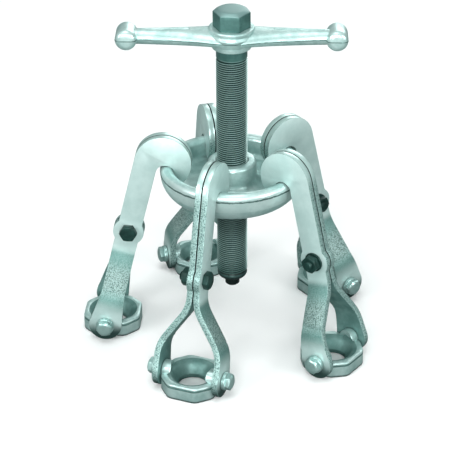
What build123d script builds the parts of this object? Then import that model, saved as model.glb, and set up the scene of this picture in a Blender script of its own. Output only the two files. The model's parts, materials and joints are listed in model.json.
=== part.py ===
from build123d import *
import math
import os

os.makedirs("parts", exist_ok=True)

# Five-arm wheel hub puller, in millimetres. +Z runs up along the spindle, and the origin is on the spindle's
# axis in the plane that the five feet rest on. A dished hub plate carries the spindle's thread. Five hooked
# forked arms hang on its rim, and each fork holds a foot that is bolted to one wheel stud.

# Spindle, thrust tip and hexagon
THREAD_D = 27.0
SPINDLE_END_Z = 50.5
SPINDLE_END_ROUND = 5.0
HEX_AF = 28.0
HEX_BOTTOM_Z = 280.0
HEX_TOP_Z = 309.2
HEX_TURN = -6.0
HEX_FACE_SHARE = 0.81
BOLT_FACE_SHARE = 0.95
TIP_D = 13.0
TIP_Z = 42.5
TIP_STEM_D = 8.0
TIP_STEM_LENGTH = 14.0

# Tee handle
HANDLE_SPAN = 196.0
HANDLE_MID_Z = 283.7
HANDLE_TURN = -1.0
BOSS_BOTTOM_Z = 274.2
COLLAR_TOP_Z = 291.7
COLLAR_TOP_D = 39.2
COLLAR_D = 40.8
COLLAR_EDGE_Z = 286.0
NECK_D = 35.6
NECK_Z = 279.2
LOWER_BOSS_D = 34.0
GRIP_D = 18.4
GRIP_LENGTH = 25.5

# Hub plate: a dish with a thick rounded rim and a threaded boss
RIM_R = 63.0
LIP_ROUND = 5.35
LIP_Z = 159.3
HUB_TOP_Z = 168.0
HUB_BOTTOM_Z = 125.0
HUB_R = 21.5
DISH_FLOOR_Z = 145.5
BOWL_BOTTOM_Z = 131.0
RUNNING = 0.05

# Arms: two mirrored bent plates each, drawn in the arm's own frame with the foot pivot at 0, 0
ARM_COUNT = 5
FIRST_AZIMUTH = -108.5
ARM_SKEW = [-3.0, 0.0, 0.0, -3.0, -3.0]
LEAN = 14.0
ARM_LENGTH = 153.4
PLATE_T = 5.6
PLATE_GAP = 0.2
ARM_HALF_WIDTH = 10.45
NOTCH_R = 8.2
HOOK_R = 25.0
HOOK_CLEARANCE = 0.75
HOOK_ABOVE_LIP = 7.4
TIP_ROUND = 5.2
MID_BOLT_RISE = 86.0
MID_BOSS_R = 13.7
EAR_R = 14.8
EAR_TAPER_RISE = 30.0
BEND_TOP_RISE = 62.0
BEND_BOTTOM_RISE = 25.0
BEND_R = 32.0
EAR_INNER = 24.8

# Fasteners of the arms
BOLT_D = 8.0
BOLT_AF = 14.0
BOLT_HEAD_H = 5.6
WASHER_R = 8.6
WASHER_T = 1.6
NUT_H = 6.6
BOLT_STUB = 2.6
SHOULDER_D = 10.0
SCREW_THREAD_D = 8.0
SCREW_COLLAR_R = 8.0
SCREW_COLLAR_T = 3.6
SCREW_AF = 13.0
SCREW_HEAD_H = 5.0

# Feet
PIVOT_Z = 15.0
FOOT_TOP_Z = 14.3
FOOT_HALF_LENGTH = 25.5
FOOT_HALF_WIDTH = 24.5
FOOT_END_HALF = 13.5
FOOT_SIDE_HALF = 12.5
FOOT_EDGE = 1.4
FOOT_CENTRE_IN = 3.5
SEAT_TOP_R = 18.3
SEAT_BOTTOM_R = 12.5
SEAT_LAND = 4.0
PIVOT_BOSS_R = 8.0
PIVOT_BOSS_LENGTH = 8.5

# Places that follow from the driving dimensions
LIP_R = RIM_R - LIP_ROUND
HOOK_OFFSET = NOTCH_R + ARM_HALF_WIDTH
LEAN_RAD = math.radians(LEAN)
PIVOT_R = LIP_R + ARM_LENGTH * math.sin(LEAN_RAD) + HOOK_OFFSET * math.cos(LEAN_RAD)
PIVOT_DROP = ARM_LENGTH * math.cos(LEAN_RAD) - HOOK_OFFSET * math.sin(LEAN_RAD)
LIP_RISE = LIP_Z - PIVOT_DROP - PIVOT_Z
FOOT_R = PIVOT_R - FOOT_CENTRE_IN
EAR_OUTER = EAR_INNER + PLATE_T
PLATE_OUTER = PLATE_GAP + PLATE_T


def save(shape, name):
    """Write one node and say how big it is."""
    export_step(shape, f"parts/{name}.step")
    print(f"{name}: {shape.volume / 1000:.2f} cm3")


def upright(radius, low, high):
    """A cylinder on the Z axis from low to high."""
    return Pos(0, 0, low) * Cylinder(radius, high - low, align=(Align.CENTER, Align.CENTER, Align.MIN))


def across(radius, low, high):
    """A cylinder on the Y axis from low to high."""
    return Rot(-90, 0, 0) * upright(radius, low, high)


def hexagon(across_flats, low, high, turn=0.0):
    """An upright hexagonal bar from low to high with two flats facing along Y."""
    flat = Rot(0, 0, turn) * RegularPolygon(across_flats / math.sqrt(3), 6)
    return Pos(0, 0, low) * extrude(flat, high - low)


def round_top_hexagon(across_flats, low, high, turn=0.0, face_share=BOLT_FACE_SHARE):
    """A hexagon turned down at 30 degrees, which leaves a round face of that share of the width across flats."""
    corner = across_flats / math.sqrt(3)
    face = face_share * across_flats / 2
    drop = (corner + 1 - face) * math.tan(math.radians(30))
    cone = Pos(0, 0, high - drop) * Cone(
        corner + 1, face, drop, align=(Align.CENTER, Align.CENTER, Align.MIN)
    )
    return hexagon(across_flats, low, high, turn) & (upright(corner + 1, low, high - drop) + cone)


def spindle():
    """The screw: hexagon, plain neck, threaded length as a plain cylinder, rounded end and tip bore."""
    body = upright(THREAD_D / 2, SPINDLE_END_Z, HEX_BOTTOM_Z)
    body = fillet(body.edges().sort_by(Axis.Z)[0], SPINDLE_END_ROUND)
    body += round_top_hexagon(HEX_AF, HEX_BOTTOM_Z, HEX_TOP_Z, HEX_TURN, HEX_FACE_SHARE)
    return body - upright(TIP_STEM_D / 2 + RUNNING, SPINDLE_END_Z - 1, SPINDLE_END_Z + TIP_STEM_LENGTH)


def thrust_tip():
    """The hardened insert that presses on the axle and stays still while the spindle turns over it."""
    head = upright(TIP_D / 2, TIP_Z, SPINDLE_END_Z - 0.1)
    head = chamfer(head.edges().sort_by(Axis.Z)[0], 1.0)
    return head + upright(TIP_STEM_D / 2, SPINDLE_END_Z - 0.1, SPINDLE_END_Z + TIP_STEM_LENGTH - 0.5)


def handle_section(x, width, height):
    """One oval section of the tee handle's bar, square to X."""
    return Plane(origin=(x, 0, HANDLE_MID_Z), x_dir=(0, 1, 0), z_dir=(1, 0, 0)) * Ellipse(width / 2, height / 2)


def handle_bar(side):
    """One half of the bar, from the boss to the cross grip."""
    stations = [(8.0, 27.0, 14.6), (34.0, 22.0, 14.6), (62.0, 16.4, 13.8), (HANDLE_SPAN / 2 - 9, 14.2, 13.4)]
    sections = [handle_section(side * x, width, height) for x, width, height in stations]
    return loft(sections)


def handle_grip(side):
    """The short cross cylinder on one end of the bar, with rounded ends."""
    grip = across(GRIP_D / 2, -GRIP_LENGTH / 2, GRIP_LENGTH / 2)
    grip = fillet(grip.edges().filter_by(GeomType.CIRCLE), 4.0)
    return Pos(side * (HANDLE_SPAN / 2 - GRIP_D / 2), 0, HANDLE_MID_Z) * grip


def handle_boss():
    """The round middle: a lower ring, a neck that widens to the collar's edge, and a rounded top."""
    outline = Plane.XZ * Polygon(
        (0, BOSS_BOTTOM_Z), (LOWER_BOSS_D / 2, BOSS_BOTTOM_Z), (LOWER_BOSS_D / 2, NECK_Z),
        (NECK_D / 2, NECK_Z), (COLLAR_D / 2, COLLAR_EDGE_Z), (COLLAR_TOP_D / 2, COLLAR_TOP_Z), (0, COLLAR_TOP_Z),
        align=None,
    )
    boss = revolve(outline, axis=Axis.Z)
    top = [edge for edge in boss.edges().filter_by(GeomType.CIRCLE) if edge.center().Z > COLLAR_TOP_Z - 0.1]
    return fillet(top, 1.6)


def tee_handle():
    """The forged handle: a boss that drops over the spindle's hexagon, and two arms with cross grips."""
    boss = handle_boss()
    for side in (-1, 1):
        boss += handle_bar(side)
        boss += handle_grip(side)
    boss = Rot(0, 0, HANDLE_TURN) * boss
    boss -= hexagon(HEX_AF + 0.4, HEX_BOTTOM_Z - 0.1, COLLAR_TOP_Z + 1, HEX_TURN)
    return boss - upright(THREAD_D / 2 + 0.3, BOSS_BOTTOM_Z - 1, HEX_BOTTOM_Z + 1)


def hub_plate():
    """The dish: threaded boss, annular channel, rounded rim and a bowl-shaped underside, turned about Z."""
    bore = THREAD_D / 2 + RUNNING
    lip_in = LIP_R - LIP_ROUND
    top_round, root, foot = 3.0, 8.0, 5.0
    with BuildPart() as made:
        with BuildSketch(Plane.XZ):
            with BuildLine():
                Line((bore, HUB_TOP_Z), (HUB_R - top_round, HUB_TOP_Z))
                CenterArc((HUB_R - top_round, HUB_TOP_Z - top_round), top_round, 90, -90)
                Line((HUB_R, HUB_TOP_Z - top_round), (HUB_R, DISH_FLOOR_Z + root))
                CenterArc((HUB_R + root, DISH_FLOOR_Z + root), root, 180, 90)
                Line((HUB_R + root, DISH_FLOOR_Z), (lip_in - foot, DISH_FLOOR_Z))
                CenterArc((lip_in - foot, DISH_FLOOR_Z + foot), foot, -90, 90)
                Line((lip_in, DISH_FLOOR_Z + foot), (lip_in, LIP_Z))
                CenterArc((LIP_R, LIP_Z), LIP_ROUND, 180, -180)
                Spline(
                    (RIM_R, LIP_Z),
                    (RIM_R - 3.0, LIP_Z - 12.5),
                    (RIM_R - 12.0, LIP_Z - 21.8),
                    (HUB_R + 13.0, BOWL_BOTTOM_Z),
                    tangents=[(0, -1), (-1, -0.05)],
                )
                Line((HUB_R + 13.0, BOWL_BOTTOM_Z), (HUB_R, BOWL_BOTTOM_Z - 1.0))
                Line((HUB_R, BOWL_BOTTOM_Z - 1.0), (HUB_R, HUB_BOTTOM_Z))
                Line((HUB_R, HUB_BOTTOM_Z), (bore, HUB_BOTTOM_Z))
                Line((bore, HUB_BOTTOM_Z), (bore, HUB_TOP_Z))
            make_face()
        revolve(axis=Axis.Z)
    return made.part


def arm_outline():
    """The side view of an arm plate: ear, tapering shank, mid boss and the hook over the rim."""
    notch_x = -HOOK_OFFSET
    notch_z = ARM_LENGTH + LIP_ROUND + LIP_RISE + HOOK_CLEARANCE - NOTCH_R
    head_x = ARM_HALF_WIDTH - HOOK_R
    head_z = ARM_LENGTH + HOOK_ABOVE_LIP
    tip_x = notch_x - NOTCH_R - TIP_ROUND
    reach = HOOK_R - TIP_ROUND
    tip_z = head_z - math.sqrt(reach**2 - (head_x - tip_x) ** 2)
    touch = (head_x + (tip_x - head_x) * 1.5, head_z + (tip_z - head_z) * 1.5)
    below = MID_BOLT_RISE + 20
    shank = Polygon(
        (-ARM_HALF_WIDTH, 0), (ARM_HALF_WIDTH, 0), (ARM_HALF_WIDTH, head_z), (-ARM_HALF_WIDTH, head_z), align=None
    )
    taper = Polygon(
        (-EAR_R, 0), (EAR_R, 0), (ARM_HALF_WIDTH, EAR_TAPER_RISE), (-ARM_HALF_WIDTH, EAR_TAPER_RISE), align=None
    )
    whole = Circle(EAR_R) + taper + shank + Pos(0, MID_BOLT_RISE) * Circle(MID_BOSS_R)
    whole += Pos(head_x, head_z) * Circle(HOOK_R)
    whole -= Pos(notch_x, notch_z) * Circle(NOTCH_R)
    whole -= Polygon(
        (notch_x - NOTCH_R, below), (-ARM_HALF_WIDTH, below), (-ARM_HALF_WIDTH, notch_z), (notch_x - NOTCH_R, notch_z),
        align=None,
    )
    whole -= Polygon(
        (tip_x, tip_z), touch, (touch[0], below), (notch_x - NOTCH_R, below), (notch_x - NOTCH_R, tip_z), align=None
    )
    return whole + Pos(tip_x, tip_z) * Circle(TIP_ROUND)


def arm_strip():
    """The end view of an arm plate: flat beside its twin, bent outwards, then flat again as an ear."""
    inner = PLATE_GAP + PLATE_T / 2
    outer = EAR_INNER + PLATE_T / 2
    path = FilletPolyline(
        (inner, ARM_LENGTH + 60), (inner, BEND_TOP_RISE), (outer, BEND_BOTTOM_RISE), (outer, -30), radius=BEND_R
    )
    return trace(path, line_width=PLATE_T)


def arm_plate():
    """The arm's left plate, on the +Y side of the arm's middle plane."""
    side = Pos(0, 40, 0) * extrude(Plane.XZ * arm_outline(), 45)
    strip = Pos(-60, 0, 0) * extrude(Plane.YZ * arm_strip(), 120)
    plate = side & strip
    plate -= Pos(0, 0, MID_BOLT_RISE) * across(BOLT_D / 2 + 0.15, -1, 20)
    return plate - across(SHOULDER_D / 2 + RUNNING, 10, 40)


def mid_bolt():
    """The hexagon bolt through both plates of an arm, head on the +Y side."""
    head = Rot(-90, 0, 0) * round_top_hexagon(BOLT_AF, PLATE_OUTER, PLATE_OUTER + BOLT_HEAD_H)
    end = -(PLATE_OUTER + WASHER_T + NUT_H + BOLT_STUB)
    return Pos(0, 0, MID_BOLT_RISE) * (head + across(BOLT_D / 2, end, PLATE_OUTER + 1))


def mid_washer():
    """The flat washer under the nut."""
    ring = across(WASHER_R, -PLATE_OUTER - WASHER_T, -PLATE_OUTER)
    ring -= across(BOLT_D / 2 + 0.15, -30, 0)
    return Pos(0, 0, MID_BOLT_RISE) * ring


def mid_nut():
    """The hexagon nut on the -Y side."""
    start = PLATE_OUTER + WASHER_T
    nut = Rot(90, 0, 0) * round_top_hexagon(BOLT_AF, start, start + NUT_H)
    nut -= across(BOLT_D / 2 + 0.05, -30, 0)
    return Pos(0, 0, MID_BOLT_RISE) * nut


def foot_outline():
    """The plan view of a foot: an octagon, longer along the arm than across it."""
    return Polygon(
        (-FOOT_HALF_LENGTH, -FOOT_END_HALF), (-FOOT_SIDE_HALF, -FOOT_HALF_WIDTH),
        (FOOT_SIDE_HALF, -FOOT_HALF_WIDTH), (FOOT_HALF_LENGTH, -FOOT_END_HALF),
        (FOOT_HALF_LENGTH, FOOT_END_HALF), (FOOT_SIDE_HALF, FOOT_HALF_WIDTH),
        (-FOOT_SIDE_HALF, FOOT_HALF_WIDTH), (-FOOT_HALF_LENGTH, FOOT_END_HALF),
        align=None,
    )


def foot():
    """A foot: an octagonal ring with a conical nut seat and two pivot bosses, its pivot at 0, 0, PIVOT_Z."""
    ring = extrude(foot_outline(), FOOT_TOP_Z)
    ring = chamfer(ring.faces().sort_by(Axis.Z)[-1].edges(), FOOT_EDGE)
    ring = Pos(-FOOT_CENTRE_IN, 0, 0) * ring
    for side in (-1, 1):
        ends = sorted((side * FOOT_HALF_WIDTH, side * (FOOT_HALF_WIDTH - PIVOT_BOSS_LENGTH)))
        ring += Pos(0, 0, PIVOT_Z) * across(PIVOT_BOSS_R, *ends)
    seat = upright(SEAT_BOTTOM_R, -1, SEAT_LAND + 1)
    seat += Pos(0, 0, SEAT_LAND) * Cone(
        SEAT_BOTTOM_R, SEAT_TOP_R, FOOT_TOP_Z - SEAT_LAND, align=(Align.CENTER, Align.CENTER, Align.MIN)
    )
    seat += upright(SEAT_TOP_R, FOOT_TOP_Z, FOOT_TOP_Z + 20)
    ring -= Pos(-FOOT_CENTRE_IN, 0, 0) * seat
    return ring - Pos(0, 0, PIVOT_Z) * across(SCREW_THREAD_D / 2 + 0.05, -40, 40)


def pivot_screw():
    """A collar screw on the +Y side: thread in the foot's boss, shoulder in the ear, hexagon outside."""
    collar_start = EAR_OUTER + 0.2
    collar_end = collar_start + SCREW_COLLAR_T
    screw = across(SCREW_THREAD_D / 2, FOOT_HALF_WIDTH - 5.6, FOOT_HALF_WIDTH + 1)
    screw += across(SHOULDER_D / 2, FOOT_HALF_WIDTH, collar_start + 0.5)
    screw += across(SCREW_COLLAR_R, collar_start, collar_end)
    screw += Rot(-90, 0, 0) * round_top_hexagon(SCREW_AF, collar_end - 0.5, collar_end + SCREW_HEAD_H)
    return Pos(0, 0, PIVOT_Z) * screw


def in_arm_place(shape, number):
    """Move a shape from the foot pivot's upright frame to arm number's place round the spindle."""
    azimuth = FIRST_AZIMUTH + number * 360 / ARM_COUNT
    stand = Rot(0, 0, azimuth) * Pos(FOOT_R, 0, 0) * Rot(0, 0, ARM_SKEW[number]) * Pos(FOOT_CENTRE_IN, 0, 0)
    return stand * shape


def leaned(shape):
    """Tip an arm piece, drawn upright with the foot pivot at 0, 0, 0, inwards to the arm's lean."""
    return Pos(0, 0, PIVOT_Z) * Rot(0, -LEAN, 0) * shape


def mirrored(shape):
    """The same piece on the other side of the arm's middle plane."""
    return mirror(shape, about=Plane.XZ)


print(f"pivot radius {PIVOT_R:.2f}, foot radius {FOOT_R:.2f}, lip above the hook's seat {LIP_RISE:.3f}")
save(spindle(), "spindle")
save(thrust_tip(), "thrust_tip")
save(tee_handle(), "tee_handle")
save(hub_plate(), "hub_plate")

arm_pieces = {
    "plate_left": leaned(arm_plate()),
    "plate_right": leaned(mirrored(arm_plate())),
    "bolt": leaned(mid_bolt()),
    "washer": leaned(mid_washer()),
    "nut": leaned(mid_nut()),
}
foot_pieces = {
    "": foot(),
    "_screw_left": pivot_screw(),
    "_screw_right": mirrored(pivot_screw()),
}
for number in range(ARM_COUNT):
    for piece, shape in arm_pieces.items():
        save(in_arm_place(shape, number), f"arm_{number + 1}_{piece}")
    for piece, shape in foot_pieces.items():
        save(in_arm_place(shape, number), f"foot_{number + 1}{piece}")
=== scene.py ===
# %% [markdown]
# # A five-arm wheel hub puller
# The puller stands on five feet. Each foot is bolted to a wheel stud, a hooked and forked arm rises
# from it, and all five arms hang on the rim of a forged dish. A long screw runs down through the dish
# and pushes on the axle. The measured solids are loaded first. They say where every piece is, so each
# finer piece is made around them.

# %% Load the measured solids
import json
import math

import bpy
from mathutils import Matrix, Vector


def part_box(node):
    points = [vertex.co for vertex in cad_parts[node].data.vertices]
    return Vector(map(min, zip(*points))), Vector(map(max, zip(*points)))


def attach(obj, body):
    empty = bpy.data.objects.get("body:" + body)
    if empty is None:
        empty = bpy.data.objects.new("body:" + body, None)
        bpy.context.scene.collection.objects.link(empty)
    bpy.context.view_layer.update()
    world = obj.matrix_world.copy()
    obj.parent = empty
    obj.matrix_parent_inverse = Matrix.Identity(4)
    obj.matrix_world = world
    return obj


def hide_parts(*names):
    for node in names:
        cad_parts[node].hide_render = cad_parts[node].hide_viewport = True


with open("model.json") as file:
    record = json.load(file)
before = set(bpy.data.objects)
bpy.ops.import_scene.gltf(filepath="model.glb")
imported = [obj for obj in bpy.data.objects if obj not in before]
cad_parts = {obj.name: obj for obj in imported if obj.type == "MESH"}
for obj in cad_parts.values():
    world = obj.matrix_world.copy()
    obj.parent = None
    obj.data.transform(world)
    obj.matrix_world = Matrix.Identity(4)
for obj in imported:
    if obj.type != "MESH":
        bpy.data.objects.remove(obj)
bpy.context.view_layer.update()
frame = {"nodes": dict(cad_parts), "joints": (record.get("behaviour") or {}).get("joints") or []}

MM = 0.001
SAME_SPOT = 2e-6
TOUCHING = 1e-6
joints = {joint["name"]: joint for joint in frame["joints"]}
print("solids:", len(frame["nodes"]), "joints:", len(joints))

# %% [markdown]
# ## Hands
# Modelling by hand is always the same few moves: pick one object, pick some of its points, edges or
# faces, and use a tool on them. These short helpers are those moves. Tools act on everything that is
# selected, so each helper clears the selection before it picks anything.


# %% Picking
def clear_selection():
    """Select nothing."""
    bpy.ops.object.select_all(action="DESELECT")


def only(piece):
    """Select one object and nothing else."""
    clear_selection()
    piece.select_set(True)
    bpy.context.view_layer.objects.active = piece
    return piece


def leave_edit():
    """Go back to object mode."""
    bpy.ops.object.mode_set(mode="OBJECT")


def pick(piece, kind, test):
    """Enter edit mode with only the points, edges or faces that pass the test selected."""
    only(piece)
    mesh = piece.data
    for group in (mesh.vertices, mesh.edges, mesh.polygons):
        group.foreach_set("select", [False] * len(group))
    if kind == "VERT":
        for point in mesh.vertices:
            point.select = test(point.co)
    if kind == "EDGE":
        for edge in mesh.edges:
            first, second = (mesh.vertices[index].co for index in edge.vertices)
            edge.select = test(first, second)
    if kind == "FACE":
        for face in mesh.polygons:
            face.select = test(face.center, face.normal)
    bpy.context.tool_settings.mesh_select_mode = (kind == "VERT", kind == "EDGE", kind == "FACE")
    bpy.ops.object.mode_set(mode="EDIT")


def pick_all(piece):
    """Enter edit mode with everything selected."""
    only(piece)
    bpy.ops.object.mode_set(mode="EDIT")
    bpy.ops.mesh.select_all(action="SELECT")


# %% Finishing moves
def modify(piece, kind, **settings):
    """Add a modifier, set it and apply it."""
    only(piece)
    bpy.ops.object.modifier_add(type=kind)
    modifier = piece.modifiers[-1]
    for key, value in settings.items():
        setattr(modifier, key, value)
    bpy.ops.object.modifier_apply(modifier=modifier.name)
    return piece


def combine(piece, tool, operation):
    """Cut, add or keep the part shared with another object, which is used up."""
    modify(piece, "BOOLEAN", operation=operation, object=tool, solver="EXACT")
    bpy.data.objects.remove(tool)
    return piece


def face_outwards(piece):
    """Merge doubled points and turn every face outwards."""
    pick_all(piece)
    bpy.ops.mesh.remove_doubles(threshold=SAME_SPOT)
    bpy.ops.mesh.normals_make_consistent(inside=False)
    leave_edit()
    return piece


def soften(piece, width, segments=2, angle=35.0, finish=-1):
    """Round off every edge sharper than the angle, with a finish of its own if one is named."""
    modify(
        piece,
        "BEVEL",
        width=width * MM,
        segments=segments,
        limit_method="ANGLE",
        angle_limit=math.radians(angle),
        material=finish,
    )
    return piece


def smooth(piece, angle=35.0):
    """Shade smoothly across all but sharp edges."""
    only(piece)
    bpy.ops.object.shade_smooth_by_angle(angle=math.radians(angle))
    return piece


def fix_place():
    """Write the active object's place, turn and size into its mesh."""
    bpy.ops.object.transform_apply(location=True, rotation=True, scale=True)
    return bpy.context.object


def settle(piece, place):
    """Put an object in a place and write that place into its mesh."""
    only(piece)
    piece.matrix_world = place @ piece.matrix_world
    return fix_place()


def copy_of(piece, name, place):
    """A separate copy in another place, with a mesh of its own."""
    only(piece)
    bpy.ops.object.duplicate(linked=False)
    twin = bpy.context.object
    twin.name = name
    settle(twin, place)
    if place.determinant() < 0:
        face_outwards(twin)
    return twin


def join(piece, others):
    """Make several objects one piece."""
    only(piece)
    for other in others:
        other.select_set(True)
    bpy.ops.object.join()
    return piece


# %% Drawing and turning
def arc(centre, radius, start, end, steps):
    """Points along an arc, in millimetres and degrees."""
    points = []
    for i in range(steps + 1):
        turned = math.radians(start + (end - start) * i / steps)
        points.append((centre[0] + radius * math.cos(turned), centre[1] + radius * math.sin(turned)))
    return points


def draw(name, outline, closed=False, depth=0.0):
    """Draw an upright outline of (across, up) points: one point, extruded from place to place."""
    spots = [Vector((across, depth, up)) * MM for across, up in outline]
    if closed:
        spots.append(spots[0])
    clear_selection()
    bpy.ops.mesh.primitive_plane_add(size=MM, location=spots[0])
    line = fix_place()
    line.name = name
    bpy.context.tool_settings.mesh_select_mode = (True, False, False)
    bpy.ops.object.mode_set(mode="EDIT")
    bpy.ops.mesh.select_all(action="SELECT")
    bpy.ops.mesh.merge(type="CENTER")
    for here, there in zip(spots, spots[1:]):
        bpy.ops.mesh.extrude_region_move(TRANSFORM_OT_translate={"value": there - here})
    bpy.ops.mesh.select_all(action="SELECT")
    bpy.ops.mesh.remove_doubles(threshold=SAME_SPOT)
    leave_edit()
    return line


def turn(name, outline, steps=64, closed=False):
    """Turn an outline round the upright axis, as on a lathe."""
    piece = draw(name, outline, closed)
    pick_all(piece)
    bpy.ops.mesh.spin(steps=steps, angle=math.tau, center=(0, 0, 0), axis=(0, 0, 1))
    leave_edit()
    return face_outwards(piece)


def hexagon(name, across_flats, low, high, twist=0.0):
    """An upright hexagonal bar with two flats across the Y axis, twisted by some degrees."""
    clear_selection()
    bpy.ops.mesh.primitive_cylinder_add(
        vertices=6,
        radius=across_flats / math.sqrt(3) * MM,
        depth=(high - low) * MM,
        location=(0, 0, (low + high) / 2 * MM),
        rotation=(0, 0, math.radians(30 + twist)),
    )
    bar = fix_place()
    bar.name = name
    return bar


print("helpers ready")

# %% [markdown]
# ## Camera
# A long lens far away keeps the screw and the arms nearly parallel, as in a catalogue picture. The
# camera looks down by about 29 degrees.

# %% Camera
LOOK_AT = Vector((0.00246, 0.0, 0.09168))
CAMERA_DISTANCE = 1.5925
CAMERA_ELEVATION = math.radians(29.46)
CAMERA_ROLL = math.radians(-0.13)

forward = Vector((0, math.cos(CAMERA_ELEVATION), -math.sin(CAMERA_ELEVATION)))
up = Vector((0, math.sin(CAMERA_ELEVATION), math.cos(CAMERA_ELEVATION)))
right = Vector((1, 0, 0))
rolled_right = right * math.cos(CAMERA_ROLL) + up * math.sin(CAMERA_ROLL)
rolled_up = up * math.cos(CAMERA_ROLL) - right * math.sin(CAMERA_ROLL)
bpy.ops.object.camera_add()
camera = bpy.context.object
axes = Matrix((rolled_right, rolled_up, -forward)).transposed()
camera.matrix_world = Matrix.Translation(LOOK_AT - forward * CAMERA_DISTANCE) @ axes.to_4x4()
camera.data.sensor_width = 36
camera.data.lens = 136.3
bpy.context.scene.camera = camera
print("camera", [round(value, 3) for value in camera.location])

# %% [markdown]
# ## Screw
# The screw is turned from bar: a hexagon on top, a plain neck, then a fine thread down to a rounded
# end. The core is turned on a lathe. The thread is one ridge outline that the Screw modifier winds up
# the core, a real helix.

# %% Screw core
SCREW_R = 13.5
ROOT_R = 12.3
NECK_R = SCREW_R - 0.1
PITCH = 2.0
screw_low, screw_high = (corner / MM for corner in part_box("spindle"))
NECK_LOW = 265.3
HEX_LOW = 280.0
END_LOW = screw_low.z
END_R = 8.2
END_ROUND = 5.2
core = turn(
    "screw",
    [(0, END_LOW), (END_R, END_LOW)]
    + arc((END_R, END_LOW + END_ROUND), END_ROUND, -84, -4, 8)
    + [(ROOT_R, END_LOW + 6.4), (ROOT_R, NECK_LOW - 1.0)]
    + [(NECK_R, NECK_LOW + 0.6), (NECK_R, HEX_LOW + 0.5), (0, HEX_LOW + 0.5)],
    steps=64,
)
smooth(core, 50)
print("screw core points", len(core.data.vertices))

# %% Screw thread
THREAD_LOW = 57.0
UNTHREADED_END = 7.0
THREAD_TURNS = int((NECK_LOW - END_LOW - UNTHREADED_END) / PITCH)
BURIED_R = ROOT_R - 0.5
FLANK_R = ROOT_R - 0.1
ridge = draw(
    "screw_thread",
    [(BURIED_R, THREAD_LOW), (FLANK_R, THREAD_LOW), (SCREW_R, THREAD_LOW + 0.6)]
    + [(SCREW_R, THREAD_LOW + 0.8), (FLANK_R, THREAD_LOW + 1.4), (BURIED_R, THREAD_LOW + 1.4)],
    closed=True,
)
modify(
    ridge,
    "SCREW",
    angle=math.tau,
    screw_offset=PITCH * MM,
    iterations=THREAD_TURNS,
    steps=40,
    render_steps=40,
    use_smooth_shade=False,
)
pick_all(ridge)
bpy.ops.mesh.fill_holes(sides=0)
leave_edit()
face_outwards(ridge)
smooth(ridge, 30)
print("thread turns", THREAD_TURNS, "points", len(ridge.data.vertices))

# %% [markdown]
# A hexagon on a turned screw has curved chamfers where the lathe took its corners off. Keeping only
# what a hexagonal bar shares with a turned blank gives exactly those curves.


# %% Hexagon with turned corners
def turned_hexagon(name, flats, low, high, twist=0.0, both_ends=False, edge=0.3, share=0.92, dome=0.15):
    """A hexagon that a lathe has chamfered at 30 degrees, which leaves a slightly domed round face."""
    corner = flats / math.sqrt(3) + 0.6
    face = share * flats / 2
    drop = (corner - face) * math.tan(math.radians(30)) + dome
    base = [(0, low), (face, low), (corner, low + drop)] if both_ends else [(0, low), (corner, low)]
    crown = [(corner, high - drop), (face, high - dome), (face * 0.6, high - dome * 0.3), (0, high)]
    blank = turn(f"{name}_blank", base + crown, steps=72)
    bar = combine(hexagon(name, flats, low, high, twist), blank, "INTERSECT")
    soften(bar, edge, 2, 20)
    return smooth(bar, 25)


HEX_FLATS = 28.0
HEX_TWIST = -6.0
screw_head = turned_hexagon(
    "screw_head", HEX_FLATS, HEX_LOW, screw_high.z, HEX_TWIST, edge=0.4, share=0.81, dome=0.3
)
join(core, [ridge, screw_head])
print("screw height in mm", round(screw_high.z - screw_low.z, 1))

# %% [markdown]
# ## Thrust tip
# A small hardened plug sits in the end of the screw and pushes on the axle. It has a chamfered face
# with a small centre dimple, and a stem that is hidden in the screw.

# %% Thrust tip
tip_low, tip_high = (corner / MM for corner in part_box("thrust_tip"))
TIP_R = 6.5
STEM_R = 4.0
thrust = turn(
    "thrust_plug",
    [(0, tip_low.z + 0.8), (1.2, tip_low.z), (5.3, tip_low.z)]
    + [(TIP_R - 0.25, tip_low.z + 0.9), (TIP_R, tip_low.z + 1.3), (TIP_R, END_LOW - 0.9)]
    + [(TIP_R - 0.5, END_LOW - 0.3), (STEM_R, END_LOW - 0.1), (STEM_R, tip_high.z - 0.6)]
    + [(STEM_R - 0.6, tip_high.z), (0, tip_high.z)],
    steps=48,
)
smooth(thrust, 30)
print("tip points", len(thrust.data.vertices))

# %% [markdown]
# ## Tee handle
# The handle is a drop forging: two tapering arms swell out of a round boss, each arm has a shallow
# panel on top, and a short cross grip closes each end. The two halves of the die leave a fine raised
# seam all the way round. One arm is extruded section by section from an oval, given its panel, and
# smoothed with a subdivision surface.

# %% Handle arm
SEAM_Z = 283.7
GRIP_X = 88.8
SECTIONS = [(0, 37.0, 14.4), (12, 35.5, 14.6), (22, 30.0, 14.8), (34, 24.2, 14.6)]
SECTIONS += [(60, 17.6, 14.0), (80, 14.6, 13.4), (GRIP_X, 14.4, 13.2)]
clear_selection()
bpy.ops.mesh.primitive_circle_add(
    vertices=16,
    radius=0.5 * MM,
    fill_type="NGON",
    location=(0, 0, SEAM_Z * MM),
    rotation=(0, math.pi / 2, 0),
)
handle_arm = fix_place()
handle_arm.name = "handle_arm"
pick_all(handle_arm)
at_x, width, height = SECTIONS[0]
bpy.ops.transform.resize(value=(1, width, height), center_override=(0, 0, SEAM_Z * MM))
for next_x, next_width, next_height in SECTIONS[1:]:
    bpy.ops.mesh.extrude_region_move(TRANSFORM_OT_translate={"value": ((next_x - at_x) * MM, 0, 0)})
    bpy.ops.transform.resize(
        value=(1, next_width / width, next_height / height), center_override=(next_x * MM, 0, SEAM_Z * MM)
    )
    at_x, width, height = next_x, next_width, next_height
leave_edit()
face_outwards(handle_arm)
print("arm sections", len(SECTIONS))

# %% Panel and seam of the handle arm
PANEL_FROM, PANEL_TO = 34.0, 81.0


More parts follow.
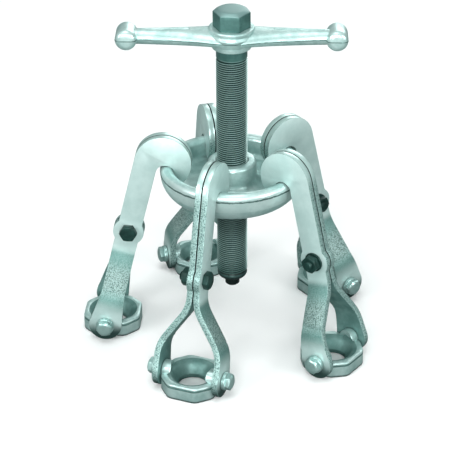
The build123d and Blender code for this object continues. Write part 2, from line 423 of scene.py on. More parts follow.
def in_panel(centre, normal):
    """The upward faces between the boss and the grip."""
    return normal.z > 0.93 and PANEL_FROM * MM < centre.x < PANEL_TO * MM


def along_seam(a, b):
    """The edges that run along the arm at the height of the seam."""
    return max(abs(a.z - SEAM_Z * MM), abs(b.z - SEAM_Z * MM)) < TOUCHING and abs(a.x - b.x) > 5 * MM


pick(handle_arm, "FACE", in_panel)
bpy.ops.mesh.inset(thickness=1.2 * MM, depth=0.0)
bpy.ops.transform.edge_crease(value=0.5)
bpy.ops.mesh.inset(thickness=0.6 * MM, depth=-1.2 * MM)
bpy.ops.transform.edge_crease(value=0.5)
leave_edit()
pick(handle_arm, "EDGE", along_seam)
bpy.ops.transform.edge_crease(value=0.75)
leave_edit()
modify(handle_arm, "SUBSURF", levels=2, render_levels=2)


def raise_seam(piece, level, half_height=0.35, proud=0.22):
    """Raise a fine seam round a piece, or sink a groove where it stands proud by less than nothing."""
    pick_all(piece)
    bpy.ops.mesh.bisect(plane_co=(0, 0, (level - half_height) * MM), plane_no=(0, 0, 1))
    bpy.ops.mesh.select_all(action="SELECT")
    bpy.ops.mesh.bisect(plane_co=(0, 0, (level + half_height) * MM), plane_no=(0, 0, 1))
    leave_edit()
    reach = half_height * MM
    pick(piece, "FACE", lambda at, normal: abs(at.z - level * MM) < reach and abs(normal.z) < 0.8)
    bpy.ops.mesh.extrude_region_shrink_fatten(TRANSFORM_OT_shrink_fatten={"value": proud * MM})
    leave_edit()
    return piece


raise_seam(handle_arm, SEAM_Z)
print("handle arm points", len(handle_arm.data.vertices))

# %% Cross grip
GRIP_R = 9.2
GRIP_LENGTH = 25.5
clear_selection()
bpy.ops.mesh.primitive_cylinder_add(
    vertices=40,
    radius=GRIP_R * MM,
    depth=GRIP_LENGTH * MM,
    location=(GRIP_X * MM, 0, SEAM_Z * MM),
    rotation=(math.pi / 2, 0, 0),
)
grip = fix_place()
grip.name = "grip"
END_Y = GRIP_LENGTH / 2 * MM
pick(grip, "EDGE", lambda a, b: abs(abs(a.y) - END_Y) < TOUCHING and abs(a.y - b.y) < TOUCHING)
bpy.ops.mesh.bevel(offset=4.6 * MM, segments=7)
leave_edit()
raise_seam(grip, SEAM_Z, 0.3, 0.18)
smooth(grip, 40)
smooth(handle_arm, 40)
print("grip points", len(grip.data.vertices))

# %% [markdown]
# The boss is turned, with a hexagonal pocket sunk from the top that drops over the screw's hexagon, and
# a lower ring. The two arms are the same forging, one turned half round.

# %% Handle boss
handle_low, handle_high = (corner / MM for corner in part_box("tee_handle"))
BOSS_BORE_R = 13.8
POCKET_FLATS = HEX_FLATS + 0.4
HANDLE_TURN = math.radians(-1.0)
boss = turn(
    "handle",
    [(BOSS_BORE_R, handle_low.z), (15.8, handle_low.z)]
    + arc((15.8, handle_low.z + 1.2), 1.2, -90, 0, 4)
    + [(17.0, 278.4), (17.3, 278.9), (17.8, 279.2), (20.0, 285.4), (20.35, 286.1), (20.25, 286.7)]
    + [(19.7, 288.6), (19.1, 289.0), (19.1, 289.5), (19.5, 289.9)]
    + arc((18.2, handle_high.z - 1.4), 1.4, 0, 90, 5)
    + [(BOSS_BORE_R, handle_high.z)],
    steps=96,
    closed=True,
)
pocket = hexagon("pocket", POCKET_FLATS, HEX_LOW - 0.2, handle_high.z + 3, HEX_TWIST)
combine(boss, pocket, "DIFFERENCE")
smooth(boss, 30)
HALF_TURN = Matrix.Rotation(math.pi, 4, "Z")
arm_twin = copy_of(handle_arm, "handle_arm_twin", HALF_TURN)
grip_twin = copy_of(grip, "grip_twin", HALF_TURN)
handle = join(boss, [handle_arm, grip, arm_twin, grip_twin])
settle(handle, Matrix.Rotation(HANDLE_TURN, 4, "Z"))
print("handle span in mm", round(handle_high.x - handle_low.x, 1))

# %% [markdown]
# ## Dish
# The dish is one turned forging: a boss round the screw, a channel that the hooks drop into, a thick
# round rim that carries them, and a bowl underneath. A fine line of flash runs round the rim. The whole
# section is drawn once and turned.

# %% Dish section
dish_low, dish_high = (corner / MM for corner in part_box("hub_plate"))
RIM_R = dish_high.x
LIP = 5.35
LIP_R = RIM_R - LIP
LIP_Z = 159.3
BOSS_R = 21.5
FLOOR_Z = 145.5
BORE_R = 13.62
CHAMFER = 1.0
FLASH_Z = 158.0
FLASH_R = RIM_R + 0.22


def bowl(steps):
    """The underside of the dish: a curve from the rim in to the lower boss."""
    outer, inner = Vector((RIM_R, LIP_Z - 1.6)), Vector((34.5, 131.0))
    pull_out, pull_in = Vector((RIM_R + 0.2, 141.2)), Vector((50.0, 132.2))
    curve = []
    for i in range(1, steps + 1):
        t = i / steps
        near, far = outer * (1 - t) + pull_out * 3 * t, pull_in * 3 * (1 - t) + inner * t
        point = near * (1 - t) ** 2 + far * t**2
        curve.append((min(point.x, RIM_R), point.y))
    return curve


section = (
    [(BORE_R, dish_high.z - CHAMFER), (BORE_R + CHAMFER, dish_high.z)]
    + arc((BOSS_R - 3.2, dish_high.z - 3.2), 3.2, 90, 0, 7)
    + arc((BOSS_R + 8.0, FLOOR_Z + 8.0), 8.0, 180, 270, 12)
    + arc((LIP_R - LIP - 5.0, FLOOR_Z + 5.0), 5.0, -90, 0, 8)
    + arc((LIP_R, LIP_Z), LIP, 180, 0, 20)
    + [(RIM_R - 0.05, FLASH_Z + 0.4), (FLASH_R, FLASH_Z + 0.2), (FLASH_R, FLASH_Z - 0.2)]
    + bowl(18)
    + [(23.5, 130.2), (BOSS_R, 128.2)]
    + arc((BOSS_R - 2.0, dish_low.z + 2.0), 2.0, 0, -90, 5)
    + [(BORE_R + CHAMFER, dish_low.z), (BORE_R, dish_low.z + CHAMFER)]
)
dish = turn("dish", section, steps=144, closed=True)
smooth(dish, 38)
print("dish points", len(dish.data.vertices))

# %% [markdown]
# ## Arms
# Each arm is two steel plates. They are cut to one outline with a hook at the top, a swelling for the
# bolt and a round ear. Above the bolt they lie flat together, and below it each is bent outwards and
# back, so the pair makes a fork. The outline is drawn as one flat face halfway through the plate. It is
# cut into rows, the rows are moved sideways along the bend, and Solidify gives the plate the same
# thickness all the way.

# %% Arm outline
PLATE_T = 5.35
PLATE_GAP = 0.45
HALF_WIDTH = 10.45
EAR_R = 14.8
SWELL_R = 13.7
SWELL_RISE = 86.0
HOOK_R = 25.0
HOOK_CENTRE = (HALF_WIDTH - HOOK_R, 160.8)
NOTCH_R = 8.2
NOTCH_CENTRE = (-HALF_WIDTH - NOTCH_R, 151.27)
BEAK_R = 5.2
beak_x = NOTCH_CENTRE[0] - NOTCH_R - BEAK_R
beak_z = HOOK_CENTRE[1] - math.sqrt((HOOK_R - BEAK_R) ** 2 - (HOOK_CENTRE[0] - beak_x) ** 2)
beak_turn = math.degrees(math.atan2(beak_z - HOOK_CENTRE[1], beak_x - HOOK_CENTRE[0])) % 360
swell_turn = math.degrees(math.acos(HALF_WIDTH / SWELL_R))
MID_FORK = 30.0
arm_outline = (
    [(HALF_WIDTH, MID_FORK)]
    + arc((0, SWELL_RISE), SWELL_R, -swell_turn, swell_turn, 12)
    + arc(HOOK_CENTRE, HOOK_R, 0, beak_turn, 40)
    + arc((beak_x, beak_z), BEAK_R, beak_turn + 15, 355, 12)
    + arc(NOTCH_CENTRE, NOTCH_R, 174, 0, 20)
    + arc((0, SWELL_RISE), SWELL_R, 180 - swell_turn, 180 + swell_turn, 12)
    + [(-HALF_WIDTH, MID_FORK)]
    + arc((0, 0), EAR_R, 163.5, 376.5, 30)
)
flat_y = PLATE_GAP + PLATE_T / 2
plate = draw("plate", arm_outline, closed=True, depth=flat_y)
pick_all(plate)
bpy.ops.mesh.edge_face_add()
leave_edit()
print("outline points", len(arm_outline), "faces", len(plate.data.polygons))

# %% Bend the plate
BEND_R = 32.0
BEND_TOP = 62.0
BEND_FOOT = 25.0
EAR_OUT = 30.4
EAR_MID = EAR_OUT - PLATE_T / 2
BEND_STEPS = 7
EVEN_ROWS = [71.5, 76.5, 100.5, 148.0, 4.2]
bend = math.atan2(EAR_MID - flat_y, BEND_TOP - BEND_FOOT)
reach = BEND_R * math.tan(bend / 2)
rows = []
for i in range(1, BEND_STEPS + 1):
    turned = bend * i / BEND_STEPS
    drop, aside = BEND_R * math.sin(turned), BEND_R * (1 - math.cos(turned))
    rows.append((BEND_TOP + reach - drop, flat_y + aside))
for i in range(BEND_STEPS, -1, -1):
    turned = bend * i / BEND_STEPS
    drop, aside = BEND_R * math.sin(turned), BEND_R * (1 - math.cos(turned))
    rows.append((BEND_FOOT - reach + drop, EAR_MID - aside))
for level in [BEND_TOP + reach] + [level for level, offset in rows] + EVEN_ROWS:
    pick_all(plate)
    bpy.ops.mesh.bisect(plane_co=(0, 0, level * MM), plane_no=(0, 0, 1))
    leave_edit()
offset = flat_y
for level, next_offset in rows:
    pick(plate, "VERT", lambda point: point.z < level * MM + TOUCHING)
    bpy.ops.transform.translate(value=(0, (next_offset - offset) * MM, 0))
    leave_edit()
    offset = next_offset
print("bend angle", round(math.degrees(bend), 1), "rows", len(rows))

# %% Thicken, drill and soften the plate
def finish_slots(piece, *finishes):
    """Give a piece its material slots by name. The finishes themselves are mixed later."""
    for finish in finishes:
        piece.data.materials.append(bpy.data.materials.get(finish) or bpy.data.materials.new(finish))


EDGE_SLOT, INSIDE_SHADE_SLOT, ARRIS_SLOT = 1, 2, 3
BOLT_HOLE_R = 4.15
PIVOT_HOLE_R = 5.05
finish_slots(plate, "arm_face", "arm_edge", "painted_shade_steel", "arm_arris")
modify(
    plate,
    "SOLIDIFY",
    thickness=PLATE_T * MM,
    offset=0.0,
    use_even_offset=True,
    use_rim=True,
    material_offset_rim=EDGE_SLOT,
)
face_outwards(plate)
ACROSS = Matrix.Rotation(-math.pi / 2, 4, "X")
for radius, rise, start, end in ((BOLT_HOLE_R, SWELL_RISE, -4, 12), (PIVOT_HOLE_R, 0.0, 18, 38)):
    drill = turn("drill", [(0, start), (radius, start), (radius, end), (0, end)], steps=40)
    settle(drill, Matrix.Translation((0, 0, rise * MM)) @ ACROSS)
    combine(plate, drill, "DIFFERENCE")
soften(plate, 0.5, 2, 40, finish=ARRIS_SLOT)
smooth(plate, 32)
# Painted shade: the faces beside the twin plate and the inner faces of the fork take the dark shade
# finish.
for face in plate.data.polygons:
    beside_twin = face.center.y < (PLATE_GAP + 0.42) * MM
    if beside_twin or face.normal.y < -0.35:
        face.material_index = INSIDE_SHADE_SLOT
print("plate points", len(plate.data.vertices))

# %% [markdown]
# ## Arm bolt, washer and nut
# A blackened bolt holds the two plates together. Its hexagon is made like the screw's, and the threaded
# stub that shows past the nut gets its ridges from a turned zigzag. The nut is chamfered at both ends.

# %% Bolt, washer and nut
PLATE_OUT = PLATE_GAP + PLATE_T
BOLT_FLATS = 14.0
HEAD_T = 5.6
WASHER_T = 1.6
WASHER_R = 8.6
NUT_T = 6.6
SHANK_R = 3.98
RIDGE_PITCH = 1.1
bolt_head = turned_hexagon("bolt", BOLT_FLATS, PLATE_OUT, PLATE_OUT + HEAD_T, 12.0)
STUB_END = PLATE_OUT + WASHER_T + NUT_T + 2.6
thread_line = [(0, -STUB_END), (3.1, -STUB_END)]
for i in range(4):
    ridge_z = -STUB_END + 0.75 + i * RIDGE_PITCH
    thread_line += [(3.95, ridge_z), (3.45, ridge_z + 0.55)]
thread_line += [(SHANK_R, -STUB_END + 5.4), (SHANK_R, PLATE_OUT + 0.5), (0, PLATE_OUT + 0.5)]
shank = turn("shank", thread_line, steps=32)
smooth(shank, 40)
bolt = join(bolt_head, [shank])
washer_face = -PLATE_OUT - WASHER_T
washer = turn(
    "washer",
    [(4.2, washer_face), (WASHER_R - 0.4, washer_face), (WASHER_R, washer_face + 0.3)]
    + [(WASHER_R, -PLATE_OUT - 0.2), (WASHER_R - 0.2, -PLATE_OUT - 0.02), (4.2, -PLATE_OUT - 0.02)],
    steps=48,
    closed=True,
)
smooth(washer, 30)
nut = turned_hexagon("nut", BOLT_FLATS, washer_face - NUT_T, washer_face, 21.0, both_ends=True)
nut_hole = turn("nut_hole", [(0, -20), (4.0, -20), (4.0, 0), (0, 0)], steps=32)
combine(nut, nut_hole, "DIFFERENCE")
smooth(nut, 25)
for part in (bolt, washer, nut):
    settle(part, Matrix.Translation((0, 0, SWELL_RISE * MM)) @ ACROSS)
print("bolt, washer and nut ready")

# %% [markdown]
# ## Feet
# A foot is a small forging: a block with cut corners, a shallow funnel that leads down into a conical
# seat for the wheel nut, a groove round its wall at the parting line of the dies, and a round boss on
# each side for its pivot. A block gets its corners and its edges by bevelling, the bosses are added to
# it, and one turned cutter opens the funnel and the seat. The seat's wall and the groove get a finish
# of painted shade, darker than the rest of the foot.

# %% Foot block
FOOT_IN = 3.5
FOOT_HALF = (25.5, 24.5)
FOOT_TOP = 14.3
PIVOT_Z = 15.0
CORNER_CUT = 12.0
GROOVE_Z = 11.6
GROOVE_HALF = 0.6
GROOVE_DEPTH = 0.8
clear_selection()
bpy.ops.mesh.primitive_cube_add(size=1, location=(-FOOT_IN * MM, 0, FOOT_TOP / 2 * MM))
foot = bpy.context.object
foot.name = "foot"
foot.scale = (2 * FOOT_HALF[0] * MM, 2 * FOOT_HALF[1] * MM, FOOT_TOP * MM)
fix_place()


def upright(a, b):
    """The edges at the corners of the block."""
    return abs(a.z - b.z) > 5 * MM


def round_top(a, b):
    """The edges round the top."""
    return min(a.z, b.z) > FOOT_TOP * MM - TOUCHING


def round_bottom(a, b):
    """The edges round the underside."""
    return max(a.z, b.z) < TOUCHING


for edges, width, steps in (
    (upright, CORNER_CUT, 1),
    (upright, 3.2, 4),
    (round_top, 1.3, 3),
    (round_bottom, 0.8, 2),
):
    pick(foot, "EDGE", edges)
    bpy.ops.mesh.bevel(offset=width * MM, segments=steps)
    leave_edit()
raise_seam(foot, GROOVE_Z, GROOVE_HALF, -GROOVE_DEPTH)
print("foot block points", len(foot.data.vertices))

# %% Foot bosses and seat
LUG_R = 8.0
LUG_LENGTH = 8.4
LUG_MID = FOOT_HALF[1] - LUG_LENGTH / 2
SEAT_R = 22.4
for side in (-1, 1):
    clear_selection()
    bpy.ops.mesh.primitive_cylinder_add(
        vertices=40,
        radius=LUG_R * MM,
        depth=LUG_LENGTH * MM,
        location=(0, side * LUG_MID * MM, PIVOT_Z * MM),
        rotation=(math.pi / 2, 0, 0),
    )
    lug = fix_place()
    pick(lug, "EDGE", lambda a, b: abs(a.y - b.y) < TOUCHING and abs(a.y) > 16 * MM)
    bpy.ops.mesh.bevel(offset=0.8 * MM, segments=3)
    leave_edit()
    combine(foot, lug, "UNION")
seat = turn(
    "seat",
    [(0, -2), (13.2, -2), (13.2, 0.0), (12.5, 0.7), (12.5, 4.0), (13.6, 5.4), (15.4, 8.2), (16.8, 10.6)]
    + [(17.8, 12.0), (18.8, 12.9), (20.0, 13.5), (21.6, 14.1), (SEAT_R, 14.5), (19.6, 17.0), (18.4, 20.0)]
    + [(18.4, 30.0), (0, 30.0)],
    steps=72,
)
settle(seat, Matrix.Translation((-FOOT_IN * MM, 0, 0)))
combine(foot, seat, "DIFFERENCE")
face_outwards(foot)
smooth(foot, 38)
SHADE_SLOT = 1
finish_slots(foot, "zinc_forging", "painted_shade_steel")
# Painted shade: the seat's wall and the groove take the dark shade finish.
for face in foot.data.polygons:
    from_seat = math.hypot(face.center.x / MM + FOOT_IN, face.center.y / MM)
    height = face.center.z / MM
    in_seat = from_seat < SEAT_R + 0.2 and 1.0 < height < 14.6 and -0.2 < face.normal.z < 0.99
    in_groove = abs(height - GROOVE_Z) < GROOVE_HALF + 0.1 and from_seat > 20.5
    if in_seat or in_groove:
        face.material_index = SHADE_SLOT
print("foot points", len(foot.data.vertices))

# %% [markdown]
# ## Foot screws
# A bright collar screw on each side passes through the fork's ear into the foot. Its round collar is
# turned, and its hexagon stands on the collar.

# %% Foot screw
SCREW_FLATS = 13.0
COLLAR_R = 8.0
COLLAR_FACE = EAR_OUT + 3.8
collar = turn(
    "foot_screw",
    [(0, 18.9), (3.6, 18.9), (4.0, 19.4), (4.0, 24.5), (5.0, 24.6), (5.0, EAR_OUT + 0.2)]
    + [(COLLAR_R - 0.5, EAR_OUT + 0.2), (COLLAR_R, EAR_OUT + 0.7), (COLLAR_R, COLLAR_FACE - 0.8)]
    + arc((COLLAR_R - 0.8, COLLAR_FACE - 0.8), 0.8, 0, 90, 4)
    + [(0, COLLAR_FACE)],
    steps=56,
)
smooth(collar, 35)
screw_hexagon = turned_hexagon(
    "screw_hexagon", SCREW_FLATS, COLLAR_FACE - 0.5, COLLAR_FACE + 5.0, 9.0, edge=0.5, share=0.8, dome=0.4
)
foot_screw = join(collar, [screw_hexagon])
finish_slots(foot_screw, "bright_steel", "painted_shade_steel")
# Painted shadow: the base of the collar, where it meets the ear, takes the dark shade finish.
for face in foot_screw.data.polygons:
    if face.center.z < (EAR_OUT + 1.0) * MM:
        face.material_index = SHADE_SLOT
settle(foot_screw, Matrix.Translation((0, 0, PIVOT_Z * MM)) @ ACROSS)
print("foot screw points", len(foot_screw.data.vertices))

# %% [markdown]
# ## Five of each
# Each foot's pivot joint says where its arm stands and which way it faces, so every copy is placed from
# the joint. An arm leans in by 14 degrees from its pivot to the rim.

# %% Place the arms and feet
ARM_LEAN = math.radians(14.0)
LEAN = Matrix.Rotation(-ARM_LEAN, 4, "Y")
SIDE_SWAP = Matrix.Scale(-1, 4, (0, 1, 0))
pieces = [
    (core, "spindle", "screw", "blackened_steel"),
    (thrust, "thrust_tip", "thrust", "blackened_steel"),
    (handle, "tee_handle", "screw", "zinc_forging"),
    (dish, "hub_plate", "hub", "zinc_forging"),
]
for number in range(1, 6):
    pivot = joints[f"foot_{number}_tilt"]
    across = Vector(pivot["axis"])
    outward = across.cross(Vector((0, 0, 1)))
    stand = Matrix((outward, across, Vector((0, 0, 1)))).transposed().to_4x4()
    spot = Vector(pivot["pos_m"])
    foot_place = Matrix.Translation((spot.x, spot.y, 0)) @ stand
    arm_place = Matrix.Translation(spot) @ stand @ LEAN
    arm, shoe = f"arm_{number}", f"foot_{number}"
    for model, kind, place, body, slot in (
        (plate, f"{arm}_plate_left", arm_place, arm, "zinc_plate"),
        (plate, f"{arm}_plate_right", arm_place @ SIDE_SWAP, arm, "zinc_plate"),
        (bolt, f"{arm}_bolt", arm_place, arm, "blackened_steel"),
        (washer, f"{arm}_washer", arm_place, arm, "blackened_steel"),
        (nut, f"{arm}_nut", arm_place, arm, "blackened_steel"),
        (foot, shoe, foot_place, shoe, "zinc_forging"),
        (foot_screw, f"{shoe}_screw_left", foot_place, shoe, "bright_steel"),
        (foot_screw, f"{shoe}_screw_right", foot_place @ SIDE_SWAP, shoe, "bright_steel"),
    ):
        twin = copy_of(model, f"fine_{kind}", place)
        pieces.append((twin, kind, f"{body}_group", slot))
for model in (plate, bolt, washer, nut, foot, foot_screw):
    bpy.data.objects.remove(model)
print("pieces", len(pieces))

# %% [markdown]
# ## Surfaces
# Everything is steel, but no two surfaces are alike. Forgings keep a faint orange peel under their
# bright zinc. Plate faces are smooth where they were rolled and grainy where they were bent, and plate
# edges keep the torn speckle of the shear. Screws and bolts are blackened and oiled. Two node groups
# give the patterns, and each material uses them with its own values.


# %% Node helpers
def new_group(name, inputs, outputs):
    """An empty shader node group with number inputs and outputs, and a place to build it."""
    group = bpy.data.node_groups.new(name, "ShaderNodeTree")
    group.interface.new_socket("Vector", in_out="INPUT", socket_type="NodeSocketVector")
    for label, value in inputs:
        socket = group.interface.new_socket(label, in_out="INPUT", socket_type="NodeSocketFloat")
        socket.default_value = value
    for label in outputs:
        group.interface.new_socket(label, in_out="OUTPUT", socket_type="NodeSocketFloat")
    return group, group.nodes.new("NodeGroupInput"), group.nodes.new("NodeGroupOutput")


def noise(tree, vector, scale, detail, roughness=0.5):
    """A noise texture node, with its scale given as a number or as a socket."""
    node = tree.nodes.new("ShaderNodeTexNoise")
    node.inputs["Detail"].default_value = detail
    node.inputs["Roughness"].default_value = roughness
    tree.links.new(vector, node.inputs["Vector"])
    if isinstance(scale, (int, float)):
        node.inputs["Scale"].default_value = scale
    else:
        tree.links.new(scale, node.inputs["Scale"])
    return node.outputs["Fac"]


def sums(tree, operation, first, second, clamp=False):
    """A math node on two numbers or sockets."""
    node = tree.nodes.new("ShaderNodeMath")
    node.operation = operation
    node.use_clamp = clamp
    for index, value in enumerate((first, second)):
        if isinstance(value, (int, float)):
            node.inputs[index].default_value = value
        else:
            tree.links.new(value, node.inputs[index])
    return node.outputs[0]


def band(tree, value, low, high):
    """A smooth step from 0 at low to 1 at high."""
    node = tree.nodes.new("ShaderNodeMapRange")
    node.interpolation_type = "SMOOTHSTEP"
    node.inputs["From Min"].default_value = low
    node.inputs["From Max"].default_value = high
    tree.links.new(value, node.inputs["Value"])
    return node.outputs["Result"]


# %% Orange peel group
peel, peel_in, peel_out = new_group("forged_peel", [("Scale", 400.0)], ["Height", "Mottle"])
coarse = noise(peel, peel_in.outputs["Vector"], peel_in.outputs["Scale"], 3.0)
fine_scale = sums(peel, "MULTIPLY", peel_in.outputs["Scale"], 4.3)
fine = noise(peel, peel_in.outputs["Vector"], fine_scale, 2.0)
peel.links.new(sums(peel, "ADD", coarse, sums(peel, "MULTIPLY", fine, 0.35)), peel_out.inputs["Height"])
broad_scale = sums(peel, "MULTIPLY", peel_in.outputs["Scale"], 0.16)
broad = noise(peel, peel_in.outputs["Vector"], broad_scale, 4.0, 0.6)
peel.links.new(band(peel, broad, 0.34, 0.68), peel_out.inputs["Mottle"])
print("group", peel.name)

# %% Speckle group
speckle, speckle_in, speckle_out = new_group(
    "torn_speckle", [("Scale", 900.0), ("Amount", 0.5)], ["Mask", "Height"]
)
specks = noise(speckle, speckle_in.outputs["Vector"], speckle_in.outputs["Scale"], 4.0, 0.7)
threshold = sums(speckle, "SUBTRACT", 1.0, speckle_in.outputs["Amount"])
shifted = sums(speckle, "SUBTRACT", specks, threshold)
speckle.links.new(sums(speckle, "MULTIPLY", shifted, 7.0, clamp=True), speckle_out.inputs["Mask"])
speckle.links.new(specks, speckle_out.inputs["Height"])
print("group", speckle.name)


# %% Material helper
def mix_colours(tree, mask, first, second):
    """Mix two colours, each a colour or a socket, by a mask."""
    node = tree.nodes.new("ShaderNodeMix")
    node.data_type = "RGBA"
    tree.links.new(mask, node.inputs["Factor"])
    for label, value in (("A", first), ("B", second)):
        socket = [entry for entry in node.inputs if entry.name == label and entry.type == "RGBA"][0]
        if isinstance(value, tuple):
            socket.default_value = (*value, 1.0)
        else:
            tree.links.new(value, socket)
    return [entry for entry in node.outputs if entry.type == "RGBA"][0]


def steel(name, metallic):
    """A new steel material: its tree, its shader and its object coordinates."""
    material = bpy.data.materials.get(name) or bpy.data.materials.new(name)
    material.use_nodes = True
    tree = material.node_tree
    shader = tree.nodes["Principled BSDF"]
    shader.inputs["Metallic"].default_value = metallic
    place = tree.nodes.new("ShaderNodeTexCoord").outputs["Object"]
    return material, tree, shader, place


def use(tree, group, place, **values):
    """Place a node group in a material with its own values."""
    node = tree.nodes.new("ShaderNodeGroup")
    node.node_tree = group
    tree.links.new(place, node.inputs["Vector"])
    for label, value in values.items():
        node.inputs[label].default_value = value
    return node


def bump(tree, shader, height, distance, strength=1.0):
    """Let a height raise the surface by a distance in metres."""
    node = tree.nodes.new("ShaderNodeBump")
    node.inputs["Distance"].default_value = distance
    node.inputs["Strength"].default_value = strength
    tree.links.new(height, node.inputs["Height"])
    tree.links.new(node.outputs["Normal"], shader.inputs["Normal"])


def scaled(tree, mask, low, high):
    """Turn a mask from 0 to 1 into a number from low to high."""
    return sums(tree, "ADD", sums(tree, "MULTIPLY", mask, high - low), low)


# %% Heights and bands
def axis_value(tree, place, axis):
    """One coordinate of the place on the surface, in metres."""
    split = tree.nodes.new("ShaderNodeSeparateXYZ")
    tree.links.new(place, split.inputs[0])
    return split.outputs[axis]


def from_axis(tree, place):
    """How far the surface lies from the upright middle axis, in metres."""
    across_x, across_y = axis_value(tree, place, "X"), axis_value(tree, place, "Y")
    square_x, square_y = sums(tree, "POWER", across_x, 2.0), sums(tree, "POWER", across_y, 2.0)
    return sums(tree, "SQRT", sums(tree, "ADD", square_x, square_y), 0.0)


def along_arm(tree, place):
    """How far up its arm the surface lies from the foot's pivot, in metres."""
    pivot_r = Vector(joints["foot_1_tilt"]["pos_m"]).to_2d().length
    short_of_pivot = sums(tree, "SUBTRACT", pivot_r, from_axis(tree, place))
    inwards = sums(tree, "MULTIPLY", short_of_pivot, math.sin(ARM_LEAN))
    upwards = sums(tree, "SUBTRACT", axis_value(tree, place, "Z"), PIVOT_Z * MM)
    return sums(tree, "ADD", inwards, sums(tree, "MULTIPLY", upwards, math.cos(ARM_LEAN)))


def both(tree, first, second):
    """Where two masks meet."""
    return sums(tree, "MULTIPLY", first, second)


def line_at(tree, height, level, faded, solid):
    """A line round a piece at a level, solid within one distance and faded out at another."""
    away = sums(tree, "ABSOLUTE", sums(tree, "SUBTRACT", height, level), 0.0)
    return band(tree, away, faded, solid)


SHADE_TOP_Z, SHADE_FULL_Z = 0.0215, 0.0095


def low_shade_mask(tree, place):
    """Painted shade that darkens the ends of the arms next to the wheel, with a ragged upper border."""
    ragged = sums(tree, "MULTIPLY", noise(tree, place, 130.0, 3.0), 0.008)
    return band(tree, sums(tree, "ADD", axis_value(tree, place, "Z"), ragged), SHADE_TOP_Z, SHADE_FULL_Z)


# %% [markdown]
# ### Bright forging
# The handle and the feet are forged and then plated with zinc. Hands and rags wipe the plating
# unevenly, so two greys are mixed by the broad pattern of the peel. A broken dark line follows the
# seam of the handle, and painted shade darkens the groove and the bottom of the feet, near the floor.
# A painted colour alone would look flat, so the peel also raises a very fine bump.

# %% Bright forging
PALE = (0.58, 0.74, 0.72)
GREY = (0.36, 0.53, 0.51)
PAINTED_SHADE = (0.030, 0.066, 0.060)
forging, tree, shader, place = steel("zinc_forging", 0.65)
skin = use(tree, peel, place, Scale=420.0)
zinc = mix_colours(tree, skin.outputs["Mottle"], GREY, PALE)
# Painted shade: darker towards the bottom of the feet near the floor, and in the groove round them.
underside = band(tree, axis_value(tree, place, "Z"), 0.0026, 0.0006)
height = axis_value(tree, place, "Z")
seam = line_at(tree, height, SEAM_Z * MM, 0.00055, 0.00025)
groove = line_at(tree, height, GROOVE_Z * MM, 0.00125, 0.0007)
broken_seam = both(tree, seam, band(tree, skin.outputs["Mottle"], 0.0, 0.5))
zinc = mix_colours(tree, broken_seam, zinc, (0.10, 0.19, 0.175))
underside_and_groove_shade = sums(tree, "ADD", underside, sums(tree, "MULTIPLY", groove, 0.85), clamp=True)
tree.links.new(mix_colours(tree, underside_and_groove_shade, zinc, PAINTED_SHADE), shader.inputs["Base Color"])
tree.links.new(scaled(tree, skin.outputs["Mottle"], 0.46, 0.34), shader.inputs["Roughness"])
bump(tree, shader, skin.outputs["Height"], 0.00012, 0.6)
print("material", forging.name)

# %% [markdown]
# ### Dish forging
# The dish has the same plating, with a painted highlight that makes its rim brighter. The flash
# that was trimmed off its rim left a ragged dark line. The line is a thin band at one height, and a
# noise is added to the height so that the line wanders.

# %% Dish forging with its flash line
dish_steel, tree, shader, place = steel("dish_forging", 0.6)
skin = use(tree, peel, place, Scale=380.0)
wander = noise(tree, place, 260.0, 5.0, 0.7)
flash_height = sums(tree, "ADD", axis_value(tree, place, "Z"), sums(tree, "MULTIPLY", wander, 0.0024))
on_rim = band(tree, from_axis(tree, place), 0.0605, 0.0615)
flash = both(tree, line_at(tree, flash_height, (FLASH_Z + 1.2) * MM, 0.0009, 0.0004), on_rim)
zinc = mix_colours(tree, skin.outputs["Mottle"], GREY, PALE)
# Painted highlight: the rim is mixed towards a paler colour.
zinc = mix_colours(tree, sums(tree, "MULTIPLY", on_rim, 0.4), zinc, (0.80, 0.92, 0.90))
tree.links.new(mix_colours(tree, flash, zinc, (0.08, 0.15, 0.14)), shader.inputs["Base Color"])
tree.links.new(scaled(tree, skin.outputs["Mottle"], 0.44, 0.30), shader.inputs["Roughness"])
bump(tree, shader, skin.outputs["Height"], 0.00014, 0.6)
print("material", dish_steel.name)

# %% [markdown]
# ### Plate faces
# Rolled plate is smooth and pale, but the zinc is dull and pitted where the plate was bent. Painted
# shade darkens the faces at the two folds, on the lower ear and towards the ends of the arms next to
# the wheel. The mask for the bends runs along the arm itself, because the arm leans and a mask by
# height alone would draw the border askew.

# %% Plate faces
FOLD_LOW, FOLD_HIGH = 0.022, 0.066
arm_face, tree, shader, place = steel("arm_face", 0.5)
skin = use(tree, peel, place, Scale=260.0)
grain = use(tree, speckle, place, Scale=950.0, Amount=0.55)
rise = along_arm(tree, place)
bent_low = band(tree, rise, FOLD_LOW - 0.012, FOLD_LOW + 0.003)
bent = both(tree, bent_low, band(tree, rise, FOLD_HIGH + 0.004, FOLD_HIGH - 0.004))
# Painted shade at the two folds, where the plate turns away from the light.
upper_fold = band(tree, rise, FOLD_HIGH - 0.022, FOLD_HIGH - 0.006)
lower_fold = band(tree, rise, FOLD_LOW + 0.015, FOLD_LOW - 0.002)
fold_shade = sums(tree, "ADD", upper_fold, sums(tree, "MULTIPLY", lower_fold, 1.2), clamp=True)
plain = mix_colours(tree, skin.outputs["Mottle"], (0.54, 0.70, 0.68), (0.66, 0.81, 0.79))
pitted = mix_colours(tree, grain.outputs["Mask"], (0.32, 0.44, 0.42), (0.05, 0.11, 0.10))
shaded = mix_colours(tree, sums(tree, "MULTIPLY", fold_shade, 0.8), pitted, (0.12, 0.25, 0.23))
pitted_and_shaded = mix_colours(tree, bent, plain, shaded)
